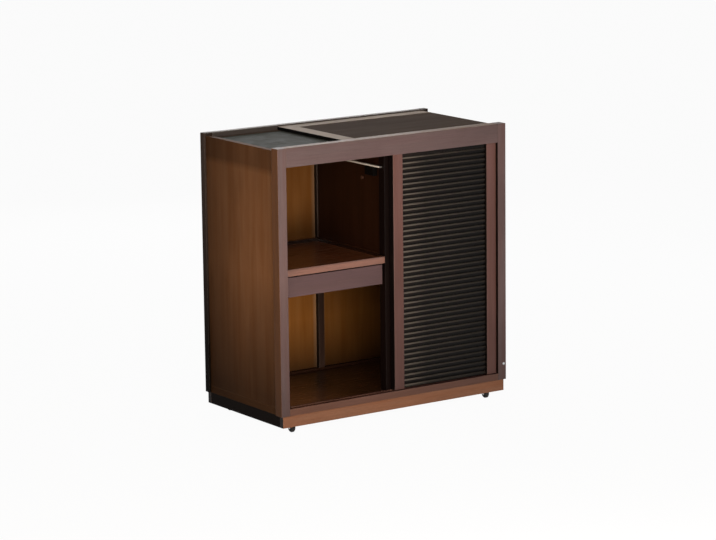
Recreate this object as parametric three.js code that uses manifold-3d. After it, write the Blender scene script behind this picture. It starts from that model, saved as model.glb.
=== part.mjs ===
// Side cabinet with a sliding ribbed door, a drawer, a sliding lid and four castors.
// Millimetres, +Z up, front towards -Y, origin on the floor under the middle of the cabinet.

import * as THREE from 'three';
import { mergeVertices } from 'three/addons/utils/BufferGeometryUtils.js';
import Module from 'manifold-3d';

const wasm = await Module();
wasm.setup();

// Whole cabinet
const cabinetWidth = 800;
const cabinetDepth = 410;
const frameHeight = 770;
const plinthHeight = 34;
const floorGap = 22;
const fit = 0.3;
const overrun = 2;
const easing = 2;
const smallEasing = 0.8;
const easingSteps = 2;
const grid = 0.001;

// Front and rear frames
const stileWidth = 29;
const frontFrameDepth = 32;
const rearFrameDepth = 22;
const topRailHeight = 55;
const bottomRailHeight = 20;
const tenonLength = 18;
const frontTenonSetback = 11;
const frontTenonThickness = 10;
const rearTenonSetback = 7;
const rearTenonThickness = 4.5;
const topTenonShoulder = 8;
const topTenonHeight = 33;
const bottomTenonShoulder = 3;
const bottomTenonHeight = 10;

// Sides and back
const sideThickness = 18;
const sideInset = 6;
const sideDrop = 8;
const tongueThickness = 7;
const tongueLength = 6;
const housingDepth = 4;
const backThickness = 5;
const backSetback = 14;
const backGrooveDepth = 6;

// Posts and partition
const frontPostX = -2;
const frontPostWidth = 24;
const frontPostDepth = 28;
const rearPostX = 0;
const rearPostWidth = 20;
const postTenonWidth = 10;
const postTenonLength = 8;
const partitionThickness = 12;
const partitionGrooveDepth = 5;

// Boards
const baseThickness = 16;
const baseDrop = 6.5;
const shelfRise = 396;
const shelfThickness = 12;
const shelfSetback = 1;
const shelfLipHeight = 8;
const shelfLipWidth = 20;
const shelfRimHeight = 10.5;
const shelfRimWidth = 6;
const rimDrop = 13.8;
const rimHeight = 7;
const rimWidth = 14;
const deckThickness = 14;
const slateThickness = 6;
const slateLap = 13;

// Lid
const lidThickness = 10;
const lidWidth = 522;
const lidSlack = 1;
const lidLeftStripWidth = 47;
const lidRearStripWidth = 42;
const lidFrontStripWidth = 24;
const lidPanelDrop = 1;
const lidTongueLength = 6;
const lidTongueThickness = 3;

// Plinth
const plinthInset = 7;
const plinthSetback = 4;
const plinthThickness = 15;

// Drawer
const drawerSetback = 4;
const drawerGap = 4;
const drawerSideGap = 8;
const drawerFrontHeight = 57;
const drawerFrontThickness = 18;
const fingerBevel = 8;
const drawerSideThickness = 12;
const drawerRearGap = 15.2;
const drawerSideRise = 8;
const drawerSideHeight = 40;
const drawerTongueThickness = 6;
const drawerGrooveDepth = 5;
const drawerBackInset = 6;
const drawerBottomThickness = 5;
const drawerBottomRise = 4;
const runnerGrooveDepth = 6;
const runnerHeight = 10;
const runnerRise = 15;
const runnerRearGap = 5;
const runnerSetback = 70;
const bearerThickness = 16;

// Sliding door
const doorSetback = 8;
const doorThickness = 20;
const doorGap = 1;
const doorSlack = 1.2;
const doorStileWidth = 34.5;
const doorTopRailHeight = 9;
const doorBottomRailHeight = 3;
const doorFlangeHeight = 24;
const doorPanelBase = 3;
const doorTongueLength = 6;
const doorTenonThickness = 2.5;
const doorTenonShoulder = 4;
const guideThickness = 8;
const guideSlack = 0.5;
const guideInset = 7;
const topGuideLength = 9;
const topTrackDepth = 12;
const bottomTrackDepth = 6;
const ribPitch = 15.25;
const ribOffset = 3;
const ribGap = 1.6;
const ribRelief = 6;
const ribRecess = 6;
const ribSteps = 6;

// Light bar, its driver and its sensor in the upper compartment
const barSetback = 44;
const barRearGap = 3.5;
const barHeight = 6;
const barThickness = 8;
const barDrop = 91;
const barSteps = 5;
const driverSetback = 78;
const driverLength = 41;
const driverHeight = 27;
const driverThickness = 16;
const sensorSetback = 153;
const sensorDrop = 139;
const sensorRadius = 5;
const sensorThickness = 4;

// Plug in the right stile
const plugRadius = 4;
const plugDepth = 5;
const plugInset = 9;
const plugRise = 48;

// Castors
const castorRailThickness = 10;
const castorRailWidth = 60;
const castorInset = 54;
const castorSetback = 40;
const plateLength = 38;
const plateWidth = 32;
const plateThickness = 2;
const plateRounding = 3;
const raceRadius = 12;
const raceHeight = 4;
const kingpinRadius = 3;
const kingpinHeadRadius = 5;
const kingpinHeadThickness = 1.5;
const crownThickness = 3;
const wheelRadius = 14;
const wheelWidth = 11;
const wheelWall = 4;
const tyreEasing = 2.5;
const hubRadius = 5;
const hubDish = 1.5;
const trail = 8;
const forkGap = 0.5;
const legThickness = 2;
const legTopHalfWidth = 9;
const legFootRadius = 4.5;
const axleRadius = 2;
const axleHeadRadius = 3.2;
const axleHeadLength = 0.8;
const turningSlack = 0.3;
const roundSteps = 28;
const smallRoundSteps = 16;

// Places that follow from these sizes
const sideX = cabinetWidth / 2;
const frontY = -cabinetDepth / 2;
const rearY = cabinetDepth / 2;
const plinthTop = floorGap + plinthHeight;
const frameTop = plinthTop + frameHeight;
const openingX = sideX - stileWidth;
const openingBottom = plinthTop + bottomRailHeight;
const openingTop = frameTop - topRailHeight;
const frontFrameBack = frontY + frontFrameDepth;
const rearFrameFront = rearY - rearFrameDepth;
const bayY = [ frontFrameBack + fit, rearFrameFront - fit ];
const panelOuterX = sideX - sideInset;
const panelInnerX = panelOuterX - sideThickness;
const tongueX = ( panelOuterX + panelInnerX ) / 2;
const sideTop = frameTop - sideDrop;
const backFront = rearFrameFront + backSetback;
const postLeft = frontPostX - frontPostWidth / 2;
const postRight = frontPostX + frontPostWidth / 2;
const rearPostLeft = rearPostX - rearPostWidth / 2;
const rearPostRight = rearPostX + rearPostWidth / 2;
const partitionLeft = rearPostX - partitionThickness / 2;
const partitionRight = rearPostX + partitionThickness / 2;
const frontPostBack = bayY[ 0 ] + frontPostDepth;
const baseTop = openingBottom - baseDrop;
const baseBottom = baseTop - baseThickness;
const shelfTop = openingBottom + shelfRise;
const shelfFloor = shelfTop - shelfLipHeight;
const shelfBottom = shelfFloor - shelfThickness;
const shelfRimTop = shelfFloor + shelfRimHeight;
const rimTop = frameTop - rimDrop;
const deckTop = rimTop - rimHeight;
const deckBottom = deckTop - deckThickness;
const plinthOuterX = sideX - plinthInset;
const plinthInnerX = plinthOuterX - plinthThickness;
const plinthOuterY = rearY - plinthSetback;
const plinthInnerY = plinthOuterY - plinthThickness;

// Finishes
const frameWood = { color: 0x6f5a54, roughness: 0.42, metalness: 0 };
const sideWood = { color: 0x6b4a31, roughness: 0.45, metalness: 0 };
const innerWood = { color: 0x7a5230, roughness: 0.5, metalness: 0 };
const shelfWood = { color: 0x6e4632, roughness: 0.45, metalness: 0 };
const doorWood = { color: 0x74493f, roughness: 0.42, metalness: 0 };
const ribWood = { color: 0x26201c, roughness: 0.38, metalness: 0 };
const plinthWood = { color: 0x7b5440, roughness: 0.5, metalness: 0 };
const stripWood = { color: 0x8f857c, roughness: 0.45, metalness: 0 };
const lidVeneer = { color: 0x423b36, roughness: 0.6, metalness: 0 };
const slateStone = { color: 0x3f3e3a, roughness: 0.6, metalness: 0 };
const plainWood = { color: 0x8a6a48, roughness: 0.6, metalness: 0 };
const aluminium = { color: 0xb4aeaa, roughness: 0.35, metalness: 1 };
const steel = { color: 0x9a9a98, roughness: 0.35, metalness: 1 };
const blackPlastic = { color: 0x1c1b1a, roughness: 0.5, metalness: 0 };
const brownPlastic = { color: 0x3f2a20, roughness: 0.5, metalness: 0 };
const blackRubber = { color: 0x171717, roughness: 0.75, metalness: 0 };
const plugMetal = { color: 0xa89c86, roughness: 0.4, metalness: 0.6 };

const around = ( middle, size ) => [ middle - size / 2, middle + size / 2 ];
const widened = ( [ low, high ], by ) => [ low - by, high + by ];
const middleOf = ( [ low, high ] ) => ( low + high ) / 2;

// The two ends of a stretch in rising order, so that one rule draws the left and the right piece.
const span = ( a, b ) => ( a < b ? [ a, b ] : [ b, a ] );

// A closed outline from corners [ u, v, radius ]; a corner without a radius stays sharp.
function outline( corners ) {

	const shape = new THREE.Shape();
	corners.forEach( ( [ u, v, radius = 0 ], i ) => {

		const corner = new THREE.Vector2( u, v );
		const towards = ( [ a, b ] ) => corner.clone().add(
			new THREE.Vector2( a, b ).sub( corner ).setLength( radius )
		);
		const start = radius ? towards( corners.at( i - 1 ) ) : corner;
		if ( i === 0 ) shape.moveTo( start.x, start.y );
		else shape.lineTo( start.x, start.y );
		if ( ! radius ) return;
		const end = towards( corners[ ( i + 1 ) % corners.length ] );
		shape.quadraticCurveTo( u, v, end.x, end.y );

	} );
	return shape;

}

// Corners pushed along an axis: drawn in ( y, z ) along x, in ( x, z ) along y and in ( x, y ) along z.
function prism( corners, along, [ from, to ], curveSegments = easingSteps ) {

	const [ unitX, unitY, unitZ ] = [ 0, 1, 2 ].map( ( i ) => new THREE.Vector3().setComponent( i, 1 ) );
	const axes = {
		x: [ unitY, unitZ, unitX ],
		y: [ unitZ, unitX, unitY ],
		z: [ unitX, unitY, unitZ ],
	};
	const drawn = along === 'y' ? corners.map( ( [ x, z, radius ] ) => [ z, x, radius ] ) : corners;
	const geometry = new THREE.ExtrudeGeometry( outline( drawn ), {
		depth: to - from, bevelEnabled: false, curveSegments,
	} );
	geometry.translate( 0, 0, from );
	return geometry.applyMatrix4( new THREE.Matrix4().makeBasis( ...axes[ along ] ) );

}

// A straight board between two values on each axis.
function board( { x, y, z } ) {

	const geometry = new THREE.BoxGeometry( x[ 1 ] - x[ 0 ], y[ 1 ] - y[ 0 ], z[ 1 ] - z[ 0 ] );
	return geometry.translate( middleOf( x ), middleOf( y ), middleOf( z ) );

}

// The room that a tongue, tenon or panel edge takes in its neighbour, with the fitting gap all round.
const room = ( { x, y, z } ) => board( { x: widened( x, fit ), y: widened( y, fit ), z: widened( z, fit ) } );

// A board with the long edges at its low and high values of v eased, as [ low low, high low, high high, low high ].
function beam( along, { x, y, z }, [ a, b, c, d ] ) {

	const [ u, v, ends ] = { x: [ y, z, x ], y: [ x, z, y ], z: [ x, y, z ] }[ along ];
	return prism( [
		[ u[ 0 ], v[ 0 ], a ], [ u[ 1 ], v[ 0 ], b ], [ u[ 1 ], v[ 1 ], c ], [ u[ 0 ], v[ 1 ], d ],
	], along, ends );

}

// A round bar along an axis, through a point given by its two other coordinates.
function rod( radius, along, [ from, to ], [ u, v ], steps = smallRoundSteps ) {

	const geometry = new THREE.CylinderGeometry( radius, radius, to - from, steps );
	if ( along === 'x' ) geometry.rotateZ( -Math.PI / 2 );
	if ( along === 'z' ) geometry.rotateX( Math.PI / 2 );
	const middle = middleOf( [ from, to ] );
	const places = { x: [ middle, u, v ], y: [ u, middle, v ], z: [ u, v, middle ] };
	return geometry.translate( ...places[ along ] );

}

// Corners are kept on a fine grid, so that faces that are meant to be flush are flush.
function solidOf( geometry ) {

	const snapped = geometry.getAttribute( 'position' ).array.map( ( value ) => Math.round( value / grid ) * grid );
	const bare = new THREE.BufferGeometry();
	bare.setAttribute( 'position', new THREE.BufferAttribute( snapped, 3 ) );
	bare.setIndex( geometry.index );
	const merged = mergeVertices( bare );
	return new wasm.Manifold( new wasm.Mesh( {
		numProp: 3,
		vertProperties: new Float32Array( merged.getAttribute( 'position' ).array ),
		triVerts: new Uint32Array( merged.index.array ),
	} ) );

}

function geometryOf( solid ) {

	const { vertProperties, triVerts } = solid.getMesh();
	const geometry = new THREE.BufferGeometry();
	geometry.setAttribute( 'position', new THREE.BufferAttribute( vertProperties, 3 ) );
	return geometry.setIndex( new THREE.BufferAttribute( triVerts, 1 ) );

}

const join = ( ...shapes ) => geometryOf( shapes.map( solidOf ).reduce( ( all, next ) => all.add( next ) ) );

const cut = ( shape, ...tools ) => geometryOf(
	tools.map( solidOf ).reduce( ( rest, tool ) => rest.subtract( tool ), solidOf( shape ) )
);

// A named mesh, drawn where it belongs in its group and then given an origin at its own middle.
function piece( name, geometry, finish ) {

	geometry.computeBoundingBox();
	const middle = geometry.boundingBox.getCenter( new THREE.Vector3() );
	geometry.translate( -middle.x, -middle.y, -middle.z );
	const mesh = new THREE.Mesh( geometry, new THREE.MeshStandardMaterial( { ...finish, flatShading: true } ) );
	mesh.name = name;
	mesh.position.copy( middle );
	return mesh;

}

function groupAt( [ x, y, z ], ...children ) {

	const group = new THREE.Group();
	group.position.set( x, y, z );
	return group.add( ...children );

}

const sides = [ { word: 'left', sign: -1 }, { word: 'right', sign: 1 } ];

// Frames: the tenons of a rail are one bar from end to end, which also gives the mortises their size.
const topTenonZ = [ frameTop - topTenonShoulder - topTenonHeight, frameTop - topTenonShoulder ];
const bottomTenonZ = [ plinthTop + bottomTenonShoulder, plinthTop + bottomTenonShoulder + bottomTenonHeight ];
const frontFrame = {
	y: [ frontY, frontFrameBack ],
	tenonY: [ frontY + frontTenonSetback, frontY + frontTenonSetback + frontTenonThickness ],
};
const rearFrame = {
	y: [ rearFrameFront, rearY ],
	tenonY: [ rearFrameFront + rearTenonSetback, rearFrameFront + rearTenonSetback + rearTenonThickness ],
};

function railTenon( frame, z ) {

	const reach = openingX + tenonLength;
	return { x: [ -reach, reach ], y: frame.tenonY, z };

}

// The tongues that hold a side panel and the rail below it in both frames.
function sideTongue( sign ) {

	return {
		x: around( sign * tongueX, tongueThickness ),
		y: [ frontFrameBack - tongueLength, rearFrameFront + tongueLength ],
		z: [ plinthTop, sideTop ],
	};

}

function frameStile( frame, sign ) {

	const corners = [
		[ sign * sideX, frame.y[ 0 ], easing ],
		[ sign * openingX, frame.y[ 0 ], smallEasing ],
		[ sign * openingX, frame.y[ 1 ], smallEasing ],
		[ sign * sideX, frame.y[ 1 ], easing ],
	];
	return cut(
		prism( corners, 'z', [ plinthTop, frameTop ] ),
		room( railTenon( frame, topTenonZ ) ),
		room( railTenon( frame, bottomTenonZ ) ),
		room( sideTongue( sign ) )
	);

}

function frameRail( frame, z, tenonZ, edges ) {

	const x = [ fit - openingX, openingX - fit ];
	return join( beam( 'x', { x, y: frame.y, z }, edges ), board( railTenon( frame, tenonZ ) ) );

}

const topRailEdges = [ smallEasing, smallEasing, easing, easing ];
const bottomRailEdges = [ smallEasing, smallEasing, smallEasing, smallEasing ];
const topRailZ = [ openingTop, frameTop ];
const bottomRailZ = [ plinthTop, openingBottom ];

// Door tracks, sunk in the front rails in line with the door
const trackY = frontY + doorSetback + doorThickness / 2;
const trackWidth = guideThickness + guideSlack + guideSlack;
const topTrack = board( {
	x: [ -sideX, sideX ],
	y: around( trackY, trackWidth ),
	z: [ openingTop - overrun, openingTop + topTrackDepth ],
} );
const bottomTrack = board( {
	x: [ -sideX, sideX ],
	y: around( trackY, trackWidth ),
	z: [ openingBottom - bottomTrackDepth, openingBottom + overrun ],
} );

// Plug in the right stile, flush with its front
const plugX = sideX - plugInset;
const plugZ = plinthTop + plugRise;

function plugHole() {

	return rod( plugRadius + fit, 'y', [ frontY - overrun, frontY + plugDepth + fit ], [ plugX, plugZ ] );

}

function makeFrontFrame() {

	const leftStile = frameStile( frontFrame, -1 );
	const rightStile = cut( frameStile( frontFrame, 1 ), plugHole() );
	const topRail = cut( frameRail( frontFrame, topRailZ, topTenonZ, topRailEdges ), topTrack );
	const bottomRail = cut( frameRail( frontFrame, bottomRailZ, bottomTenonZ, bottomRailEdges ), bottomTrack );
	const plug = rod( plugRadius, 'y', [ frontY, frontY + plugDepth ], [ plugX, plugZ ] );
	return [
		piece( 'front_stile_left', leftStile, frameWood ),
		piece( 'front_stile_right', rightStile, frameWood ),
		piece( 'front_top_rail', topRail, frameWood ),
		piece( 'front_bottom_rail', bottomRail, frameWood ),
		piece( 'stile_plug', plug, plugMetal ),
	];

}

// Back: two thin panels that stand in grooves of the rear frame and its post
function backSheet( x ) {

	return {
		x,
		y: [ backFront, backFront + backThickness ],
		z: [ openingBottom - backGrooveDepth, openingTop + backGrooveDepth ],
	};

}

const backLeft = backSheet( [ -openingX - backGrooveDepth, rearPostLeft + backGrooveDepth ] );
const backRight = backSheet( [ rearPostRight - backGrooveDepth, openingX + backGrooveDepth ] );
const postTenon = {
	x: around( rearPostX, postTenonWidth ),
	y: rearFrame.tenonY,
	z: [ openingBottom - postTenonLength, openingTop + postTenonLength ],
};

// Partition between the two posts, from the shelf to the deck
const partition = {
	x: [ partitionLeft, partitionRight ],
	y: [ frontPostBack - partitionGrooveDepth, rearFrameFront + partitionGrooveDepth ],
	z: [ shelfRimTop + fit, deckBottom - fit ],
};

function rearPost() {

	const edges = [ smallEasing, smallEasing, smallEasing, smallEasing ];
	const z = [ openingBottom + fit, openingTop - fit ];
	const body = beam( 'z', { x: [ rearPostLeft, rearPostRight ], y: rearFrame.y, z }, edges );
	return cut( join( body, board( postTenon ) ), room( partition ), room( backLeft ), room( backRight ) );

}

function makeRearFrame() {

	const grooves = [ room( backLeft ), room( backRight ) ];
	const stiles = sides.map( ( { word, sign } ) => piece(
		`rear_stile_${ word }`, cut( frameStile( rearFrame, sign ), ...grooves ), frameWood
	) );
	const topRail = frameRail( rearFrame, topRailZ, topTenonZ, topRailEdges );
	const bottomRail = frameRail( rearFrame, bottomRailZ, bottomTenonZ, bottomRailEdges );
	return [
		...stiles,
		piece( 'rear_top_rail', cut( topRail, ...grooves, room( postTenon ) ), frameWood ),
		piece( 'rear_bottom_rail', cut( bottomRail, ...grooves, room( postTenon ) ), frameWood ),
		piece( 'rear_post', rearPost(), frameWood ),
		piece( 'back_panel_left', board( backLeft ), innerWood ),
		piece( 'back_panel_right', board( backRight ), innerWood ),
	];

}

// Boards that lie in housings of the side panels
const deckPlate = {
	x: [ -panelInnerX - housingDepth, panelInnerX + housingDepth ],
	y: bayY,
	z: [ deckBottom, deckTop ],
};
const shelf = {
	x: [ -panelInnerX - housingDepth, partitionRight ],
	y: [ frontFrameBack + shelfSetback, backFront - fit ],
	z: [ shelfBottom, shelfFloor ],
};

function sidePanel( sign ) {

	const x = span( sign * panelInnerX, sign * panelOuterX );
	const z = [ openingBottom + fit, sideTop ];
	const edges = [ 0, 0, smallEasing, smallEasing ];
	return cut(
		join( beam( 'y', { x, y: bayY, z }, edges ), board( { ...sideTongue( sign ), z } ) ),
		room( deckPlate ),
		room( { ...shelf, y: bayY } )
	);

}

function sideRail( sign ) {

	const x = span( sign * panelInnerX, sign * panelOuterX );
	const z = bottomRailZ;
	return join( board( { x, y: bayY, z } ), board( { ...sideTongue( sign ), z } ) );

}

function makeSides() {

	return sides.flatMap( ( { word, sign } ) => [
		piece( `side_panel_${ word }`, sidePanel( sign ), sideWood ),
		piece( `side_bottom_rail_${ word }`, sideRail( sign ), sideWood ),
	] );

}

function frontPost() {

	const edges = [ smallEasing, smallEasing, smallEasing, smallEasing ];
	const z = [ baseTop + fit, deckBottom - fit ];
	const body = beam( 'z', { x: [ postLeft, postRight ], y: [ bayY[ 0 ], frontPostBack ], z }, edges );
	return cut( body, room( partition ) );

}

// The rear top rail hangs lower than the partition's top, so the rear upper corner is notched round it.
function partitionBoard() {

	const notch = board( {
		x: widened( partition.x, overrun ),
		y: [ bayY[ 1 ], rearY ],
		z: [ openingTop - fit, frameTop ],
	} );
	return cut( board( partition ), notch );

}

// The shelf is sunk like a tray, with a lip in front and a rim on its other sides, and the partition stands
// on the rim. It reaches back to the back panel between the rear stile and post, and clears the front post.
function shelfBoard() {

	const x = [ fit - panelInnerX, partitionRight ];
	const backOfLip = shelf.y[ 0 ] + shelfLipWidth;
	const rimZ = [ middleOf( shelf.z ), shelfRimTop ];
	const lipZ = [ shelfBottom, shelfTop ];
	const rimEdges = [ 0, 0, smallEasing, smallEasing ];
	const lip = beam( 'x', { x, y: [ shelf.y[ 0 ], backOfLip ], z: lipZ }, [ easing, 0, smallEasing, easing ] );
	const leftRim = { x: [ x[ 0 ], x[ 0 ] + shelfRimWidth ], y: [ backOfLip - easing, shelf.y[ 1 ] ], z: rimZ };
	const rightRim = { x: [ rearPostLeft, partitionRight ], y: [ backOfLip - easing, shelf.y[ 1 ] ], z: rimZ };
	const rearRim = { x, y: [ rearFrameFront, shelf.y[ 1 ] ], z: rimZ };
	const z = [ shelfBottom - overrun, shelfRimTop + overrun ];
	const stileNotch = board( { x: [ -sideX, fit - openingX ], y: [ bayY[ 1 ], rearY ], z } );
	const rearPostNotch = board( { x: [ rearPostLeft - fit, sideX ], y: [ bayY[ 1 ], rearY ], z } );
	const frontPostNotch = board( { x: [ postLeft - fit, sideX ], y: [ frontY, frontPostBack + fit ], z } );
	const rims = [ beam( 'y', leftRim, rimEdges ), beam( 'y', rightRim, rimEdges ), beam( 'x', rearRim, rimEdges ) ];
	return cut( join( board( shelf ), lip, ...rims ), stileNotch, rearPostNotch, frontPostNotch );

}

// The deck carries the slate between two raised rims, and the lid slides on the rims.
function deckBoard() {

	const x = [ fit - panelInnerX, panelInnerX - fit ];
	const z = [ middleOf( deckPlate.z ), rimTop ];
	const edges = [ 0, 0, smallEasing, smallEasing ];
	const frontRim = { x, y: [ bayY[ 0 ], bayY[ 0 ] + rimWidth ], z };
	const rearRim = { x, y: [ bayY[ 1 ] - rimWidth, bayY[ 1 ] ], z };
	return join( board( deckPlate ), beam( 'x', frontRim, edges ), beam( 'x', rearRim, edges ) );

}

function baseBoard() {

	return board( { x: [ fit - panelInnerX, panelInnerX - fit ], y: bayY, z: [ baseBottom, baseTop ] } );

}

// Lid, drawn from its own front left lower corner
const lidDepth = rearFrameFront - frontFrameBack - lidSlack - lidSlack;
const lidLeft = panelInnerX - lidSlack - lidWidth;
const lidOrigin = [ lidLeft, frontFrameBack + lidSlack, rimTop + fit ];
const lidTongueZ = around( lidThickness / 2, lidTongueThickness );
const lidFieldX = lidLeftStripWidth + fit;
const lidFieldY = [ lidFrontStripWidth + fit, lidDepth - lidRearStripWidth - fit ];

function slateTile() {

	const x = [ fit - panelInnerX, lidLeft + slateLap ];
	const y = widened( bayY, -rimWidth - fit );
	return board( { x, y, z: [ deckTop + fit, deckTop + fit + slateThickness ] } );

}

// One tongue runs along the left edge of the strips and the panel, and one along each long edge of the panel.
const lidEndTongue = {
	x: [ lidLeftStripWidth - lidTongueLength, lidFieldX + overrun ],
	y: [ 0, lidDepth ],
	z: lidTongueZ,
};
const lidSideTongues = {
	x: [ lidFieldX, lidWidth ],
	y: [ lidFrontStripWidth - lidTongueLength, lidDepth - lidRearStripWidth + lidTongueLength ],
	z: lidTongueZ,
};

function lidLeftStrip() {

	const edges = [ smallEasing, smallEasing, smallEasing, smallEasing ];
	const body = beam( 'y', { x: [ 0, lidLeftStripWidth ], y: [ 0, lidDepth ], z: [ 0, lidThickness ] }, edges );
	return cut( body, room( lidEndTongue ) );

}

function lidLongStrip( y ) {

	const edges = [ smallEasing, smallEasing, smallEasing, smallEasing ];
	const body = beam( 'x', { x: [ lidFieldX, lidWidth ], y, z: [ 0, lidThickness ] }, edges );
	return cut( join( body, board( { ...lidEndTongue, y } ) ), room( lidSideTongues ) );

}

function lidPanel() {

	const body = { x: [ lidFieldX, lidWidth ], y: lidFieldY, z: [ 0, lidThickness - lidPanelDrop ] };
	return join( board( body ), board( { ...lidEndTongue, y: lidFieldY } ), board( lidSideTongues ) );

}

function makeLid() {

	return groupAt(
		lidOrigin,
		piece( 'lid_left_strip', lidLeftStrip(), stripWood ),
		piece( 'lid_front_strip', lidLongStrip( [ 0, lidFrontStripWidth ] ), stripWood ),
		piece( 'lid_rear_strip', lidLongStrip( [ lidDepth - lidRearStripWidth, lidDepth ] ), stripWood ),
		piece( 'lid_panel', lidPanel(), lidVeneer )
	);

}

// Plinth, and the two rails between its sides that carry the castors
const plinthZ = [ floorGap, plinthTop - fit ];
const castorRailZ = [ baseBottom - fit - castorRailThickness, baseBottom - fit ];
const castorPlateTop = castorRailZ[ 0 ] - fit;

function makePlinth() {

	const ends = [ { word: 'front', sign: -1 }, { word: 'rear', sign: 1 } ];
	const longBoards = ends.map( ( { word, sign } ) => piece( `plinth_${ word }`, board( {
		x: [ -plinthOuterX, plinthOuterX ],
		y: span( sign * plinthInnerY, sign * plinthOuterY ),
		z: plinthZ,
	} ), plinthWood ) );
	const shortBoards = sides.map( ( { word, sign } ) => piece( `plinth_${ word }`, board( {
		x: span( sign * plinthInnerX, sign * plinthOuterX ),
		y: [ fit - plinthInnerY, plinthInnerY - fit ],
		z: plinthZ,
	} ), plinthWood ) );
	const castorRails = ends.map( ( { word, sign } ) => piece( `castor_rail_${ word }`, board( {
		x: [ fit - plinthInnerX, plinthInnerX - fit ],
		y: span( sign * ( plinthInnerY - fit ), sign * ( plinthInnerY - fit - castorRailWidth ) ),
		z: castorRailZ,
	} ), plainWood ) );
	return [ ...longBoards, ...shortBoards, ...castorRails ];

}

// Castor, drawn with its swivel axis on the z axis and its wheel trailing towards the front
const plateBottom = castorPlateTop - plateThickness;
const raceBottom = plateBottom - raceHeight;
const crownZ = [ raceBottom - fit - crownThickness, raceBottom - fit ];
const kingpinTop = castorPlateTop - fit;
const legInnerX = wheelWidth / 2 + forkGap;
const legOuterX = legInnerX + legThickness;

function castorPlate() {

	const x = around( 0, plateLength );
	const y = around( 0, plateWidth );
	const rounding = [ plateRounding, plateRounding, plateRounding, plateRounding ];
	const headFloor = kingpinTop - kingpinHeadThickness - fit;
	return cut(
		join(
			beam( 'z', { x, y, z: [ plateBottom, castorPlateTop ] }, rounding ),
			rod( raceRadius, 'z', [ raceBottom, middleOf( [ plateBottom, castorPlateTop ] ) ], [ 0, 0 ] )
		),
		rod( kingpinRadius + turningSlack, 'z', [ raceBottom - overrun, castorPlateTop + overrun ], [ 0, 0 ] ),
		rod( kingpinHeadRadius + turningSlack, 'z', [ headFloor, castorPlateTop + overrun ], [ 0, 0 ] )
	);

}

function forkLeg( sign ) {

	const top = middleOf( crownZ );
	const foot = wheelRadius - legFootRadius;
	const corners = [
		[ -legTopHalfWidth, top ],
		[ legTopHalfWidth, top ],
		[ legFootRadius - trail, foot, legFootRadius ],
		[ -legFootRadius - trail, foot, legFootRadius ],
	];
	return prism( corners, 'x', span( sign * legInnerX, sign * legOuterX ) );

}

// Crown, legs, riveted kingpin and riveted axle are one solid.
function castorFork() {

	const crown = {
		x: [ -legOuterX, legOuterX ],
		y: [ -legTopHalfWidth, legTopHalfWidth ],
		z: crownZ,
	};
	const corner = [ legThickness, legThickness, legThickness, legThickness ];
	const axleEnd = legOuterX + axleHeadLength;
	const axleAt = [ -trail, wheelRadius ];
	return join(
		beam( 'z', crown, corner ),
		forkLeg( -1 ),
		forkLeg( 1 ),
		rod( kingpinRadius, 'z', [ middleOf( crownZ ), kingpinTop ], [ 0, 0 ] ),
		rod( kingpinHeadRadius, 'z', [ kingpinTop - kingpinHeadThickness, kingpinTop ], [ 0, 0 ] ),
		rod( axleRadius, 'x', [ -axleEnd, axleEnd ], axleAt ),
		rod( axleHeadRadius, 'x', [ -axleEnd, -middleOf( [ legInnerX, legOuterX ] ) ], axleAt ),
		rod( axleHeadRadius, 'x', [ middleOf( [ legInnerX, legOuterX ] ), axleEnd ], axleAt )
	);

}

// A turned wheel with dished sides. Its flats touch the floor, so the corners lie a little further out.
function castorWheel() {

	const half = wheelWidth / 2;
	const rim = wheelRadius / Math.cos( Math.PI / roundSteps );
	const halfProfile = [
		[ axleRadius + turningSlack, -half ],
		[ hubRadius, -half ],
		[ hubRadius + hubDish, hubDish - half ],
		[ rim - wheelWall - hubDish, hubDish - half ],
		[ rim - wheelWall, -half ],
		[ rim - tyreEasing, -half ],
		[ rim, tyreEasing - half ],
	];
	const otherHalf = halfProfile.map( ( [ radius, height ] ) => [ radius, -height ] ).reverse();
	const profile = [ ...halfProfile, ...otherHalf, halfProfile[ 0 ] ];
	const points = profile.map( ( [ radius, height ] ) => new THREE.Vector2( radius, height ) );
	const turned = new THREE.LatheGeometry( points, roundSteps ).rotateY( Math.PI / roundSteps );
	return join( turned.rotateZ( Math.PI / 2 ).translate( 0, -trail, wheelRadius ) );

}

function makeCastors() {

	const x = sideX - castorInset;
	const y = rearY - castorSetback;
	const places = {
		front_left: [ -x, -y, 0 ], front_right: [ x, -y, 0 ], rear_left: [ -x, y, 0 ], rear_right: [ x, y, 0 ],
	};
	return Object.entries( places ).map( ( [ corner, place ] ) => groupAt(
		place,
		piece( `castor_plate_${ corner }`, castorPlate(), steel ),
		piece( `castor_fork_${ corner }`, castorFork(), steel ),
		piece( `castor_wheel_${ corner }`, castorWheel(), blackRubber )
	) );

}

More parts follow.
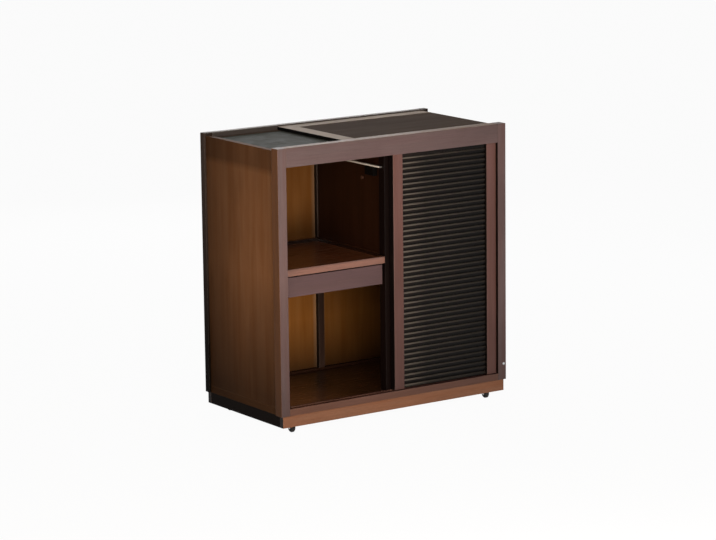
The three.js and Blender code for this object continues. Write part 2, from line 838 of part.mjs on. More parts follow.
// Drawer, drawn from its own front left lower corner
const drawerLeft = -panelInnerX + drawerSideGap;
const drawerRight = postLeft - drawerSideGap;
const drawerWidth = drawerRight - drawerLeft;
const drawerFrontY = frontFrameBack + drawerSetback;
const drawerBottomZ = shelfBottom - drawerGap - drawerFrontHeight;
const drawerSideY = [ drawerFrontThickness + fit, backFront - drawerRearGap - drawerFrontY ];
const drawerSideZ = [ drawerSideRise, drawerSideRise + drawerSideHeight ];
const drawerPanelX = [
	drawerSideThickness - drawerGrooveDepth,
	drawerWidth - drawerSideThickness + drawerGrooveDepth,
];
const drawerPanelZ = [
	drawerSideRise + drawerBottomRise,
	drawerSideRise + drawerBottomRise + drawerBottomThickness,
];
const drawerPanel = {
	x: drawerPanelX,
	y: [ drawerFrontThickness - drawerGrooveDepth, drawerSideY[ 1 ] ],
	z: drawerPanelZ,
};
const drawerBack = {
	x: drawerPanelX,
	y: [ drawerSideY[ 1 ] - drawerBackInset - drawerSideThickness, drawerSideY[ 1 ] - drawerBackInset ],
	z: [ drawerPanelZ[ 1 ] + fit, drawerSideZ[ 1 ] ],
};
const drawerSides = {
	left: [ 0, drawerSideThickness ],
	right: [ drawerWidth - drawerSideThickness, drawerWidth ],
};
const runnerY = [ frontFrameBack + runnerSetback, rearFrameFront - runnerRearGap ];
const runnerZ = around( drawerBottomZ + drawerSideRise + runnerRise, runnerHeight );

// The tongue at the front end of a drawer side, which stands in a groove of the drawer front.
function drawerTongue( x ) {

	const y = [ drawerFrontThickness - drawerGrooveDepth, drawerSideY[ 0 ] + overrun ];
	return { x: around( middleOf( x ), drawerTongueThickness ), y, z: drawerSideZ };

}

// The lower back edge of the front is bevelled as a finger hold.
function drawerFront() {

	const corners = [
		[ 0, 0, smallEasing ],
		[ drawerFrontThickness - fingerBevel, 0 ],
		[ drawerFrontThickness, fingerBevel ],
		[ drawerFrontThickness, drawerFrontHeight, smallEasing ],
		[ 0, drawerFrontHeight, smallEasing ],
	];
	return cut(
		prism( corners, 'x', [ 0, drawerWidth ] ),
		room( drawerTongue( drawerSides.left ) ),
		room( drawerTongue( drawerSides.right ) ),
		room( drawerPanel )
	);

}

// The runner's groove is open at the rear and stops where the runner ends when the drawer is shut.
function drawerSide( x, grooveX ) {

	const edges = [ 0, 0, smallEasing, smallEasing ];
	const runnerGroove = board( {
		x: grooveX,
		y: [ runnerY[ 0 ] - drawerFrontY - fit, drawerSideY[ 1 ] + overrun ],
		z: around( drawerSideRise + runnerRise, runnerHeight + fit + fit ),
	} );
	return cut(
		join( beam( 'y', { x, y: drawerSideY, z: drawerSideZ }, edges ), board( drawerTongue( x ) ) ),
		room( drawerPanel ),
		room( drawerBack ),
		runnerGroove
	);

}

function makeDrawer() {

	const grooveDepth = runnerGrooveDepth + fit;
	const leftGroove = [ -overrun, grooveDepth ];
	const rightGroove = [ drawerWidth - grooveDepth, drawerWidth + overrun ];
	return groupAt(
		[ drawerLeft, drawerFrontY, drawerBottomZ ],
		piece( 'drawer_front', drawerFront(), frameWood ),
		piece( 'drawer_side_left', drawerSide( drawerSides.left, leftGroove ), plainWood ),
		piece( 'drawer_side_right', drawerSide( drawerSides.right, rightGroove ), plainWood ),
		piece( 'drawer_back', board( drawerBack ), plainWood ),
		piece( 'drawer_bottom', board( drawerPanel ), plainWood )
	);

}

// The left runner is fixed to the side panel, the right one is worked on the bearer between the posts.
function makeDrawerRunners() {

	const leftX = [ fit - panelInnerX, drawerLeft + runnerGrooveDepth ];
	const rightX = [ drawerRight - runnerGrooveDepth, postLeft + bearerThickness / 2 ];
	const bearer = {
		x: [ postLeft, postLeft + bearerThickness ],
		y: [ frontPostBack + fit, rearFrameFront - fit ],
		z: [ drawerBottomZ, shelfBottom - fit ],
	};
	return [
		piece( 'drawer_runner_left', board( { x: leftX, y: runnerY, z: runnerZ } ), plainWood ),
		piece( 'drawer_bearer', join( board( bearer ), board( { x: rightX, y: runnerY, z: runnerZ } ) ), innerWood ),
	];

}

// Door, drawn from its lower left corner in the middle of its thickness
const doorWidth = openingX - doorGap;
const doorHeight = openingTop - openingBottom - doorSlack - doorSlack;
const doorFront = -doorThickness / 2;
const doorBack = doorThickness / 2;
const panelBaseY = [ doorFront + ribRecess + ribRelief, doorFront + ribRecess + ribRelief + doorPanelBase ];
const doorFlangeY = [ panelBaseY[ 1 ] + fit, doorBack ];
const doorGrooveX = [ doorStileWidth - doorTongueLength, doorWidth - doorStileWidth + doorTongueLength ];
const doorFieldX = [ doorStileWidth + fit, doorWidth - doorStileWidth - fit ];
const doorTopRailZ = [ doorHeight - doorTopRailHeight, doorHeight ];
const doorBottomRailZ = [ 0, doorBottomRailHeight ];
const ribbedPanelZ = [ doorBottomRailHeight + fit, doorHeight - doorTopRailHeight - fit ];

const topFlangeZ = [ doorHeight - doorFlangeHeight, middleOf( doorTopRailZ ) ];
const bottomFlangeZ = [ middleOf( doorBottomRailZ ), doorFlangeHeight ];

// The tenons of a door rail lie in its flange, behind the ribbed panel.
function doorTenon( flangeZ ) {

	const y = around( middleOf( doorFlangeY ), doorTenonThickness );
	return { x: doorGrooveX, y, z: widened( flangeZ, -doorTenonShoulder ) };

}

// Tongues above and below a door stile run in the tracks. The lower one carries the door.
function doorStile( x, guideX ) {

	const edges = [ easing, easing, smallEasing, smallEasing ];
	const body = beam( 'z', { x, y: [ doorFront, doorBack ], z: [ 0, doorHeight ] }, edges );
	const guide = board( {
		x: guideX,
		y: around( 0, guideThickness ),
		z: [ fit - doorSlack - bottomTrackDepth, doorHeight + topGuideLength ],
	} );
	const groove = room( { x: doorGrooveX, y: panelBaseY, z: [ 0, doorHeight ] } );
	const mortises = [ room( doorTenon( topFlangeZ ) ), room( doorTenon( bottomFlangeZ ) ) ];
	return join( cut( body, groove, ...mortises ), guide );

}

// A rail is a narrow nose in line with the ribs and a flange behind the ribbed panel, with a tenon at each end.
function doorRail( noseZ, flangeZ ) {

	const edges = [ smallEasing, 0, 0, smallEasing ];
	return join(
		beam( 'x', { x: doorFieldX, y: [ doorFront + ribRecess, doorBack ], z: noseZ }, edges ),
		board( { x: doorFieldX, y: doorFlangeY, z: flangeZ } ),
		board( doorTenon( flangeZ ) )
	);

}

// Half-round ribs side by side on a thin board, counted down from the top and cut off at both ends.
function ribbedPanel() {

	const [ bottom, top ] = ribbedPanelZ;
	const firstValley = top + ribPitch - ribOffset;
	const ribs = Math.ceil( ( firstValley - bottom ) / ribPitch );
	const halfRib = ( ribPitch - ribGap ) / 2;
	const corners = [ [ panelBaseY[ 1 ], firstValley ], [ panelBaseY[ 0 ], firstValley ] ];
	for ( let rib = 0; rib < ribs; rib ++ ) {

		const middle = firstValley - ( rib + 1 / 2 ) * ribPitch;
		for ( let step = 0; step <= ribSteps; step ++ ) {

			const angle = Math.PI * step / ribSteps;
			corners.push( [ panelBaseY[ 0 ] - ribRelief * Math.sin( angle ), middle + halfRib * Math.cos( angle ) ] );

		}

	}
	const lastValley = firstValley - ribs * ribPitch;
	corners.push( [ panelBaseY[ 0 ], lastValley ], [ panelBaseY[ 1 ], lastValley ] );
	const y = [ -doorThickness, doorThickness ];
	const beyond = ribPitch + ribPitch;
	return join(
		cut(
			prism( corners, 'x', doorFieldX ),
			board( { x: [ 0, doorWidth ], y, z: [ top, top + beyond ] } ),
			board( { x: [ 0, doorWidth ], y, z: [ bottom - beyond, bottom ] } )
		),
		board( { x: doorGrooveX, y: panelBaseY, z: ribbedPanelZ } )
	);

}

function makeDoor() {

	const leftGuide = [ 0, doorStileWidth - guideInset ];
	const rightGuide = [ doorWidth - doorStileWidth + guideInset, doorWidth ];
	return groupAt(
		[ openingX - doorGap - doorWidth, trackY, openingBottom + doorSlack ],
		piece( 'door_stile_left', doorStile( [ 0, doorStileWidth ], leftGuide ), doorWood ),
		piece( 'door_stile_right', doorStile( [ doorWidth - doorStileWidth, doorWidth ], rightGuide ), doorWood ),
		piece( 'door_top_rail', doorRail( doorTopRailZ, topFlangeZ ), ribWood ),
		piece( 'door_bottom_rail', doorRail( doorBottomRailZ, bottomFlangeZ ), ribWood ),
		piece( 'door_ribbed_panel', ribbedPanel(), ribWood )
	);

}

// Light bar on the posts, which its foot reaches at the rear. Its driver box below it and its sensor are on
// the partition.
function makeLight() {

	const barEnds = [ frontY + barSetback, backFront - barRearGap ];
	const barZ = [ frameTop - barDrop - barHeight, frameTop - barDrop ];
	const barCorners = [ [ 0, 0 ], [ 1, 0 ], [ 1, 1 ], [ 0, 1 ] ].map(
		( [ end, edge ] ) => [ barEnds[ end ], barZ[ edge ], barHeight / 2 ]
	);
	const bar = prism( barCorners, 'x', [ postLeft - fit - barThickness, postLeft - fit ], barSteps );
	const foot = board( {
		x: [ postLeft - fit - barThickness / 2, rearPostLeft - fit ],
		y: [ rearFrameFront + fit, backFront - barRearGap - barHeight / 2 ],
		z: barZ,
	} );
	const wall = partitionLeft - fit;
	const driver = {
		x: [ wall - driverThickness, wall ],
		y: [ frontY + driverSetback, frontY + driverSetback + driverLength ],
		z: [ barZ[ 0 ] - fit - driverHeight, barZ[ 0 ] - fit ],
	};
	const sensorAt = [ frontY + sensorSetback, frameTop - sensorDrop ];
	return [
		piece( 'light_bar', join( bar, foot ), aluminium ),
		piece( 'light_driver_box', join( beam( 'y', driver, [ easing, 0, 0, easing ] ) ), blackPlastic ),
		piece( 'light_sensor', rod( sensorRadius, 'x', [ wall - sensorThickness, wall ], sensorAt ), brownPlastic ),
	];

}

const sideCabinet = groupAt(
	[ 0, 0, 0 ],
	...makeFrontFrame(),
	...makeRearFrame(),
	...makeSides(),
	piece( 'front_post', frontPost(), innerWood ),
	piece( 'partition', partitionBoard(), innerWood ),
	piece( 'shelf', shelfBoard(), shelfWood ),
	piece( 'base_board', baseBoard(), shelfWood ),
	piece( 'deck', deckBoard(), innerWood ),
	piece( 'slate_tile', slateTile(), slateStone ),
	...makePlinth(),
	...makeDrawerRunners(),
	...makeLight(),
	...makeCastors(),
	makeLid(),
	makeDrawer(),
	makeDoor()
);
sideCabinet.name = 'side_cabinet';

export default sideCabinet;
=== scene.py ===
# Side cabinet with a sliding ribbed door: the finish of every piece, in metres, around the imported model.
import math

import bmesh
import bpy
from mathutils import Matrix, Vector


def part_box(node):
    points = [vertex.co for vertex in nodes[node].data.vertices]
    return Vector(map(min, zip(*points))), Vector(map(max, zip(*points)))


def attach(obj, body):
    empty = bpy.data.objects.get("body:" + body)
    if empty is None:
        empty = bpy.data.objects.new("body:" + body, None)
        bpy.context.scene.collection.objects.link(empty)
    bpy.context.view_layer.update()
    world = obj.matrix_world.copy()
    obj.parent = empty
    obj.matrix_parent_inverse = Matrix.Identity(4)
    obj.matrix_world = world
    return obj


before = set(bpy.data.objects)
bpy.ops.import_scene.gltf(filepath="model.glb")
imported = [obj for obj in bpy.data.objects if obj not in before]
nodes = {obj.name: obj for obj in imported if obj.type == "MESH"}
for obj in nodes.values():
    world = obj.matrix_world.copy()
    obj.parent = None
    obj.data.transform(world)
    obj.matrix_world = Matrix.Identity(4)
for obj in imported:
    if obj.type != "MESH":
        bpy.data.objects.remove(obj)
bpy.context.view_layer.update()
mm = 0.001
print("frame loaded:", len(nodes), "nodes")


# small helpers
def linear(hexColour):
    channels = [int(hexColour[i:i + 2], 16) / 255 for i in (1, 3, 5)]
    return [c / 12.92 if c <= 0.04045 else ((c + 0.055) / 1.055) ** 2.4 for c in channels] + [1.0]


# a socket is given either a value or the output that feeds it
def addNode(tree, kind, sockets=None, **settings):
    node = tree.nodes.new(kind)
    for name, value in settings.items():
        setattr(node, name, value)
    for socket, value in (sockets or {}).items():
        if isinstance(value, bpy.types.NodeSocket):
            tree.links.new(value, node.inputs[socket])
        else:
            node.inputs[socket].default_value = value
    return node


def newMaterial(name):
    material = bpy.data.materials.new(name)
    material.use_nodes = True
    tree = material.node_tree
    tree.nodes.clear()
    return material, tree


# Stained and lacquered hardwood. Slow bands and long fibres run with the grain, dark pores break them up,
# painted shade darkens a panel towards some edges and sides, and arrises carry a painted highlight.
# Real pores are about 0.2 mm wide and fibres finer: both are drawn as coarse as they need to show.
# size across the grain in mm, how much longer along it, detail, and the noise levels taken as 0 and 1
grainPatterns = {
    "bands": (22, 14, 2.0, 0.36, 0.66),
    "fibres": (1.8, 45, 4.0, 0.33, 0.67),
    "clouds": (120, 2.2, 2.0, 0.35, 0.65),
    "pores": (0.9, 16, 2.0, 0.60, 0.72),
}
woodBase = dict(
    edgeHighlight="#a8988f", bands=0.10, fibres=0.14, clouds=0.16, pores=-0.20,
    paintedShade=[], unpaintedBehind=False, faces={}, paintedHighlightBands=[],
    arrisMm=1.2, arris=0.5, roughness=0.42, bump=0.3, gloss=0.3, coat=0.1, coatRoughness=0.3,
)
# the same on every wood: how the noise is drawn, where an arris starts and is full (as the cosine between the
# rounded and the flat normal), and how far pores and fibres reach in gloss and in depth
woodBuild = dict(
    seedSpread=30.0, distortion=0.3, arrisSamples=6, arrisStart=0.985, arrisFull=0.80,
    shinier=0.05, duller=0.07, poreDepth=-0.8, reliefMm=0.3, ior=1.5,
)
woodLooks = {
    # mauve brown front frame: the mauve grey is a painted sheen over red brown wood; its outer sides match
    # the side panels, its inner sides are painted shade, and it is painted darker towards the bottom
    "frame": dict(
        stain="#6a5b5d", heart="#655151", edgeHighlight="#a5948c", gloss=0.04, coat=0.0, arris=0.2,
        faces={"outer": "#603e26", "inner": "#1a1210", "top": "#6a5a54"}, paintedShade=[("z", 450, 60, 0.38)],
    ),
    # front top rail and drawer front carry the same painted sheen; the rail's top face is painted lighter as
    # lit from above
    "topRail": dict(stain="#6b5c5e", heart="#655456", edgeHighlight="#a8907e", gloss=0.03, coat=0.0, arris=0.5,
                    faces={"top": "#806654"}),
    "drawerFront": dict(stain="#594447", heart="#533f40", gloss=0.2, coat=0.04, arris=0.2),
    # front bottom rail: its top face under the door is painted shade, and it is painted darker towards the
    # right
    "bottomRail": dict(stain="#64463c", heart="#5a3c30", edgeHighlight="#a08474", gloss=0.2, coat=0.04, arris=0.6,
                       faces={"top": "#3a1f1a"}, paintedShade=[("x", -400, 400, 0.4)]),
    # near black rear frame, painted darker still towards the bottom, with its top faces painted lighter as
    # lit from above
    "rearFrame": dict(stain="#463b36", heart="#3a302c", edgeHighlight="#8a827c", arris=0.4, gloss=0.01, coat=0.0,
                      faces={"top": "#7d756f", "behind": "#4a403b"}, unpaintedBehind=True,
                      paintedShade=[("z", 780, 200, 0.9)]),
    # rear top rail: its top face painted lighter as lit from above
    "rearRail": dict(stain="#5e5754", heart="#544c49", edgeHighlight="#a39a92", arrisMm=2.5, arris=0.6, gloss=0.03,
                     coat=0.0, faces={"top": "#7a726b", "behind": "#4a403b"}),
    "rearBottomRail": dict(stain="#2a1810", heart="#22120b", edgeHighlight="#7a4c2c", arris=0.25, gloss=0.06,
                           coat=0.0),
    # rear post: its left face painted as shade
    "rearPost": dict(stain="#3a2a24", heart="#30201a", edgeHighlight="#8a7a70", arris=0.6, gloss=0.25,
                     faces={"left": "#140c0a", "behind": "#463c37"}),
    # warm brown veneer of the sides, painted darker as shade in a band at the top, towards the bottom and
    # towards the rear
    "side": dict(
        stain="#80593d", heart="#734c30", edgeHighlight="#a08468", bands=0.08, fibres=0.08, clouds=0.2, pores=-0.1,
        arrisMm=1.0, arris=0.45, roughness=0.5, gloss=0.01, coat=0.0,
        paintedShade=[("z", 742, 764, 0.42), ("z", 450, 100, 0.72), ("y", -20, 200, 0.56)],
    ),
    # side bottom rails: dark, and painted darker towards the rear as shade
    "sideRail": dict(stain="#452e1c", heart="#3a2414", edgeHighlight="#6a4c34", arris=0.3, roughness=0.5, gloss=0.01,
                     coat=0.0, paintedShade=[("y", -20, 200, 0.4)]),
    # golden veneer of the back, with painted shade towards the bottom, through the upper bay, and right of
    # the post where the door shades it; painted highlight bands beside the post
    "inner": dict(
        stain="#bc7c3c", heart="#a46626", edgeHighlight="#c8a888", bands=0.12, fibres=0.08, clouds=0.22, pores=-0.08,
        arrisMm=0.8, arris=0.2, roughness=0.5, gloss=0.15, coat=0.03,
        paintedShade=[("z", 230, 60, 0.9), ("z", 600, 470, 0.35), ("z", 380, 475, 0.62), ("x", -5, 15, 0.32),
               ("x", 60, 260, 0.5)],
        unpaintedBehind=True, faces={"behind": "#6e4a2a"}, paintedHighlightBands=[("x", 24, 12, 0.5)],
    ),
    "deck": dict(stain="#4a3a2e", heart="#3e2e22", edgeHighlight="#7a6a5c", arris=0.2, gloss=0.04, coat=0.0),
    "frontPost": dict(stain="#130b0a", heart="#0f0807", edgeHighlight="#37343a", arris=0.3, gloss=0.06, coat=0.0),
    # dark partition
    "darkInner": dict(
        stain="#2a150a", heart="#200e05", edgeHighlight="#4a3c34", bands=0.1, fibres=0.08, arris=0.35, gloss=0.12,
        coat=0.03,
    ),
    # red brown shelf and base, with the glossiest lacquer; the shelf's top is painted darker as shade, its
    # rear and left facing faces painted as shade, and its front edge painted paler as lit
    "shelf": dict(
        stain="#7a482e", heart="#62341c", edgeHighlight="#8a6858", bands=0.12, arrisMm=1.2, arris=0.2, roughness=0.3,
        gloss=0.3, coat=0.3, coatRoughness=0.12, paintedShade=[("z", 466, 471, 0.4)],
        faces={"rearward": "#24120a", "left": "#24120a", "front": "#80594c"},
    ),
    # base board: painted darker towards the right, as the shadow of the door
    "base": dict(
        stain="#64402c", heart="#50301e", edgeHighlight="#a88474", bands=0.12, arrisMm=1.4, arris=0.5, roughness=0.3,
        gloss=0.3, coat=0.3, coatRoughness=0.12, paintedShade=[("x", -300, -100, 0.75)],
    ),
    # red brown door stiles, painted darker towards the bottom as shade
    "door": dict(
        stain="#6a4b47", heart="#5f403a", edgeHighlight="#a8857a", gloss=0.2, coat=0.04, arris=0.35,
        faces={"left": "#0e0807"}, paintedShade=[("z", 600, 60, 0.46)],
    ),
    # black stained ribs, with a painted highlight on the upper side of each rib and painted shade under it,
    # all painted darker towards the right and the bottom so the highlights fade
    "ribs": dict(
        stain="#241c18", heart="#1e1612", edgeHighlight="#6a5e54", bands=0.06, fibres=0.1, arrisMm=0.8, arris=0.35,
        roughness=0.34, gloss=0.07, coat=0.02, coatRoughness=0.2,
        paintedShade=[("z", 760, 60, 0.6), ("x", 34, 120, 0.62), ("x", 110, 300, 0.52)],
        faces={"upper": "#b2a89e", "under": "#040303"},
    ),
    # plinth: its left facing faces and the plinth sides are near black painted shade
    "plinth": dict(
        stain="#845f4c", heart="#77503c", edgeHighlight="#a8887a", bands=0.14, pores=-0.25, arris=0.35, gloss=0.08,
        coat=0.0, faces={"left": "#0e0a08"},
    ),
    "plinthSide": dict(stain="#120d0a", heart="#0f0a08", edgeHighlight="#3a2e28", arris=0.2, gloss=0.01, coat=0.0),
    # pale grey strips of the lid, the left strip's left face painted as the black shadow under its edge
    "strip": dict(
        stain="#bcac9e", heart="#ae9e90", edgeHighlight="#cec2b6", bands=0.1, fibres=0.1, pores=-0.12, arris=0.4,
        roughness=0.6, gloss=0.03, coat=0.0, faces={"left": "#0c0a09"},
    ),
    "lidPanel": dict(
        stain="#55483f", heart="#4a3d35", edgeHighlight="#7a7068", bands=0.1, pores=-0.15, arrisMm=0.8, arris=0.3,
        roughness=0.8, gloss=0.015, coat=0.0,
    ),
    # bare wood of the drawer box and hidden rails
    "plain": dict(
        stain="#8d6d49", heart="#80603c", edgeHighlight="#b09068", arrisMm=0.8, arris=0.25, roughness=0.55,
        gloss=0.4, coat=0.0,
    ),
}


def stainedWood(name, look, axis):
    look = {**woodBase, **look}
    material, tree = newMaterial(name)
    coordinates = addNode(tree, "ShaderNodeTexCoord")
    place = addNode(tree, "ShaderNodeSeparateXYZ", {0: coordinates.outputs["Object"]}).outputs
    turned = addNode(tree, "ShaderNodeSeparateXYZ", {0: coordinates.outputs["Normal"]}).outputs
    pieceRandom = addNode(tree, "ShaderNodeObjectInfo").outputs["Random"]
    seed = addNode(
        tree, "ShaderNodeMath", {0: pieceRandom, 1: woodBuild["seedSpread"]}, operation="MULTIPLY"
    ).outputs["Value"]
    patterns = {}
    for pattern, (acrossMm, stretch, detail, low, high) in grainPatterns.items():
        scale = [1 / (acrossMm * mm)] * 3
        scale["xyz".index(axis)] /= stretch
        mapped = addNode(tree, "ShaderNodeMapping", {"Vector": coordinates.outputs["Object"], "Scale": scale})
        raw = addNode(
            tree, "ShaderNodeTexNoise",
            {"Vector": mapped.outputs["Vector"], "W": seed, "Scale": 1.0, "Detail": detail,
             "Distortion": woodBuild["distortion"]},
            noise_dimensions="4D",
        )
        patterns[pattern] = addNode(
            tree, "ShaderNodeMapRange", {"Value": raw.outputs["Fac"], "From Min": low, "From Max": high}
        ).outputs["Result"]

    # grain and painted shade as one factor on the stain
    tone = 1 - sum(look[pattern] for pattern in ("bands", "fibres", "clouds")) / 2
    for pattern in grainPatterns:
        tone = addNode(
            tree, "ShaderNodeMath", {0: patterns[pattern], 1: look[pattern], 2: tone},
            operation="MULTIPLY_ADD",
        ).outputs["Value"]
    # painted shade and the painted highlight bands reach every face but the rear ones of pieces marked
    # unpaintedBehind
    paintedReach = 1.0
    if look["unpaintedBehind"]:
        paintedReach = addNode(
            tree, "ShaderNodeMapRange", {"Value": turned[1], "From Min": 0.9, "From Max": 0.1}
        ).outputs["Result"]
    # each painted shade entry darkens along one axis, between where it starts and is full, by its amount
    for direction, fromMm, toMm, amount in look["paintedShade"]:
        step = addNode(
            tree, "ShaderNodeMapRange",
            {"Value": place["xyz".index(direction)], "From Min": fromMm * mm, "From Max": toMm * mm,
             "To Max": -amount},
        ).outputs["Result"]
        kept = addNode(
            tree, "ShaderNodeMath", {0: step, 1: paintedReach, 2: 1.0}, operation="MULTIPLY_ADD"
        ).outputs["Value"]
        tone = addNode(tree, "ShaderNodeMath", {0: tone, 1: kept}, operation="MULTIPLY").outputs["Value"]

    colour = addNode(
        tree, "ShaderNodeMix", {0: patterns["bands"], 6: linear(look["stain"]), 7: linear(look["heart"])},
        data_type="RGBA",
    ).outputs[2]

    # faces coloured apart from the rest, by the way they point and the half of the cabinet they are in: a few
    # in their own stain, most in painted light or shade; what tells them, and its values where the colour
    # starts and is full
    outward, forward = [
        addNode(tree, "ShaderNodeMath", {0: place[i], 1: turned[i]}, operation="MULTIPLY").outputs["Value"]
        for i in (0, 1)
    ]
    ways = {
        "outer": (outward, 0.1, 0.3), "inner": (outward, -0.1, -0.3), "left": (turned[0], -0.5, -0.9),
        "front": (forward, 0.05, 0.15), "rearward": (forward, -0.05, -0.15), "behind": (turned[1], 0.1, 0.9),
        "top": (turned[2], 0.5, 0.9), "upper": (turned[2], 0.3, 0.98), "under": (turned[2], 0.0, -0.5),
    }
    for way, faceColour in look["faces"].items():
        source, start, end = ways[way]
        step = addNode(
            tree, "ShaderNodeMapRange", {"Value": source, "From Min": start, "From Max": end}
        ).outputs["Result"]
        colour = addNode(
            tree, "ShaderNodeMix", {0: step, 6: colour, 7: linear(faceColour)}, data_type="RGBA"
        ).outputs[2]
    colour = addNode(
        tree, "ShaderNodeVectorMath", {0: colour, "Scale": tone}, operation="SCALE"
    ).outputs["Vector"]

    # painted highlight bands beside a post, by the distance from the middle of the cabinet
    for direction, fromMm, toMm, amount in look["paintedHighlightBands"]:
        distance = addNode(
            tree, "ShaderNodeMath", {0: place["xyz".index(direction)]}, operation="ABSOLUTE"
        ).outputs["Value"]
        step = addNode(
            tree, "ShaderNodeMapRange",
            {"Value": distance, "From Min": fromMm * mm, "From Max": toMm * mm, "To Max": amount},
        ).outputs["Result"]
        kept = addNode(tree, "ShaderNodeMath", {0: step, 1: paintedReach}, operation="MULTIPLY").outputs["Value"]
        shaded = addNode(
            tree, "ShaderNodeVectorMath", {0: linear(look["edgeHighlight"])[:3], "Scale": tone}, operation="SCALE"
        ).outputs["Vector"]
        colour = addNode(tree, "ShaderNodeMix", {0: kept, 6: colour, 7: shaded}, data_type="RGBA").outputs[2]

    # where the rounded normal leaves the flat one there is an arris, and it gets a painted highlight
    bevel = addNode(
        tree, "ShaderNodeBevel", {"Radius": look["arrisMm"] * mm}, samples=woodBuild["arrisSamples"]
    ).outputs["Normal"]
    flat = addNode(tree, "ShaderNodeNewGeometry").outputs["Normal"]
    facing = addNode(
        tree, "ShaderNodeVectorMath", {0: bevel, 1: flat}, operation="DOT_PRODUCT"
    ).outputs["Value"]
    arris = addNode(
        tree, "ShaderNodeMapRange",
        {"Value": facing, "From Min": woodBuild["arrisStart"], "From Max": woodBuild["arrisFull"],
         "To Max": look["arris"]},
    ).outputs["Result"]
    colour = addNode(
        tree, "ShaderNodeMix", {0: arris, 6: colour, 7: linear(look["edgeHighlight"])}, data_type="RGBA"
    ).outputs[2]

    roughness = addNode(
        tree, "ShaderNodeMapRange",
        {"Value": patterns["fibres"], "To Min": look["roughness"] - woodBuild["shinier"],
         "To Max": look["roughness"] + woodBuild["duller"]},
    ).outputs["Result"]
    relief = addNode(
        tree, "ShaderNodeMath", {0: patterns["pores"], 1: woodBuild["poreDepth"], 2: patterns["fibres"]},
        operation="MULTIPLY_ADD",
    ).outputs["Value"]
    bump = addNode(
        tree, "ShaderNodeBump",
        {"Strength": look["bump"], "Distance": woodBuild["reliefMm"] * mm, "Height": relief, "Normal": bevel},
    ).outputs["Normal"]
    surface = addNode(
        tree, "ShaderNodeBsdfPrincipled",
        {"Base Color": colour, "Roughness": roughness, "Normal": bump, "IOR": woodBuild["ior"],
         "Specular IOR Level": look["gloss"], "Coat Weight": look["coat"],
         "Coat Roughness": look["coatRoughness"]},
    )
    addNode(tree, "ShaderNodeOutputMaterial", {"Surface": surface.outputs["BSDF"]})
    return material


# The other finishes are one even substance each: two tones mixed by one noise, which also drives the
# roughness and a fine relief.
# Riven slate: split layers leave a soft uneven relief and a grey green bloom over near black.
# Anodised aluminium: drawing leaves fine lines along the bar, so it shines in a streak.
# Opal polycarbonate: a milky diffuser, matt and even, without a sharp highlight.
# Bright zinc on pressed steel: spangles of slightly different tone show when it turns.
# Moulded ABS: a spark-eroded mould leaves a fine even grain that breaks the shine.
# Moulded rubber: duller still, with a coarser grain.
# Fine grain sizes are drawn coarser than real so that they show.
grainLevels = (0.33, 0.67)
plainLooks = {
    "rivenSlate": dict(dark="#282924", light="#3e3e37", grainMm=(30, 30, 30), detail=6.0,
                       roughness=(0.62, 0.8), gloss=0.06, relief=0.9, strength=0.5),
    "anodisedAluminium": dict(dark="#c6c1bc", light="#d8d4d0", grainMm=(0.6, 80, 0.6), detail=3.0, metal=1.0,
                              roughness=(0.28, 0.42), relief=0.1, strength=0.2),
    "opalPolycarbonate": dict(dark="#d8d2ca", light="#e6e1da", grainMm=(4, 4, 4), detail=2.0,
                              roughness=(0.42, 0.5), ior=1.58, relief=0.05, strength=0.1),
    "brightZinc": dict(dark="#9c9d9c", light="#c4c5c6", grainMm=(2.5, 2.5, 2.5), detail=2.0, metal=1.0,
                       roughness=(0.24, 0.4), relief=0.05, strength=0.1),
    "mouldedBlackPlastic": dict(dark="#070606", light="#0c0b0a", grainMm=(0.6, 0.6, 0.6), detail=2.0,
                                roughness=(0.4, 0.52), ior=1.46, gloss=0.06, relief=0.2, strength=0.3),
    "mouldedBrownPlastic": dict(dark="#3a251c", light="#4a3026", grainMm=(0.6, 0.6, 0.6), detail=2.0,
                                roughness=(0.36, 0.48), ior=1.46, relief=0.2, strength=0.3),
    "mouldedRubber": dict(dark="#0f0f0f", light="#1c1b1b", grainMm=(0.8, 0.8, 0.8), detail=2.0,
                          roughness=(0.64, 0.76), gloss=0.3, relief=0.2, strength=0.3),
}


def evenFinish(name, look):
    material, tree = newMaterial(name)
    coordinates = addNode(tree, "ShaderNodeTexCoord").outputs["Object"]
    seed = addNode(tree, "ShaderNodeObjectInfo").outputs["Random"]
    scale = [1 / (size * mm) for size in look["grainMm"]]
    mapped = addNode(tree, "ShaderNodeMapping", {"Vector": coordinates, "Scale": scale})
    raw = addNode(
        tree, "ShaderNodeTexNoise",
        {"Vector": mapped.outputs["Vector"], "W": seed, "Scale": 1.0, "Detail": look["detail"]},
        noise_dimensions="4D",
    )
    grain = addNode(
        tree, "ShaderNodeMapRange",
        {"Value": raw.outputs["Fac"], "From Min": grainLevels[0], "From Max": grainLevels[1]},
    ).outputs["Result"]
    colour = addNode(
        tree, "ShaderNodeMix", {0: grain, 6: linear(look["dark"]), 7: linear(look["light"])}, data_type="RGBA"
    ).outputs[2]
    roughness = addNode(
        tree, "ShaderNodeMapRange",
        {"Value": grain, "To Min": look["roughness"][0], "To Max": look["roughness"][1]},
    ).outputs["Result"]
    bump = addNode(
        tree, "ShaderNodeBump",
        {"Strength": look["strength"], "Distance": look["relief"] * mm, "Height": grain},
    ).outputs["Normal"]
    surface = addNode(
        tree, "ShaderNodeBsdfPrincipled",
        {"Base Color": colour, "Roughness": roughness, "Normal": bump, "Metallic": look.get("metal", 0.0),
         "Specular IOR Level": look.get("gloss", 0.5)},
    )
    if "ior" in look:
        surface.inputs["IOR"].default_value = look["ior"]
    addNode(tree, "ShaderNodeOutputMaterial", {"Surface": surface.outputs["BSDF"]})
    return material


finishes = {}


def finish(kind, axis=None):
    key = kind + (axis or "").upper()
    if key not in finishes:
        if axis:
            finishes[key] = stainedWood(kind + "WoodAlong" + axis.upper(), woodLooks[kind], axis)
        else:
            finishes[key] = evenFinish(kind, plainLooks[kind])
    return finishes[key]


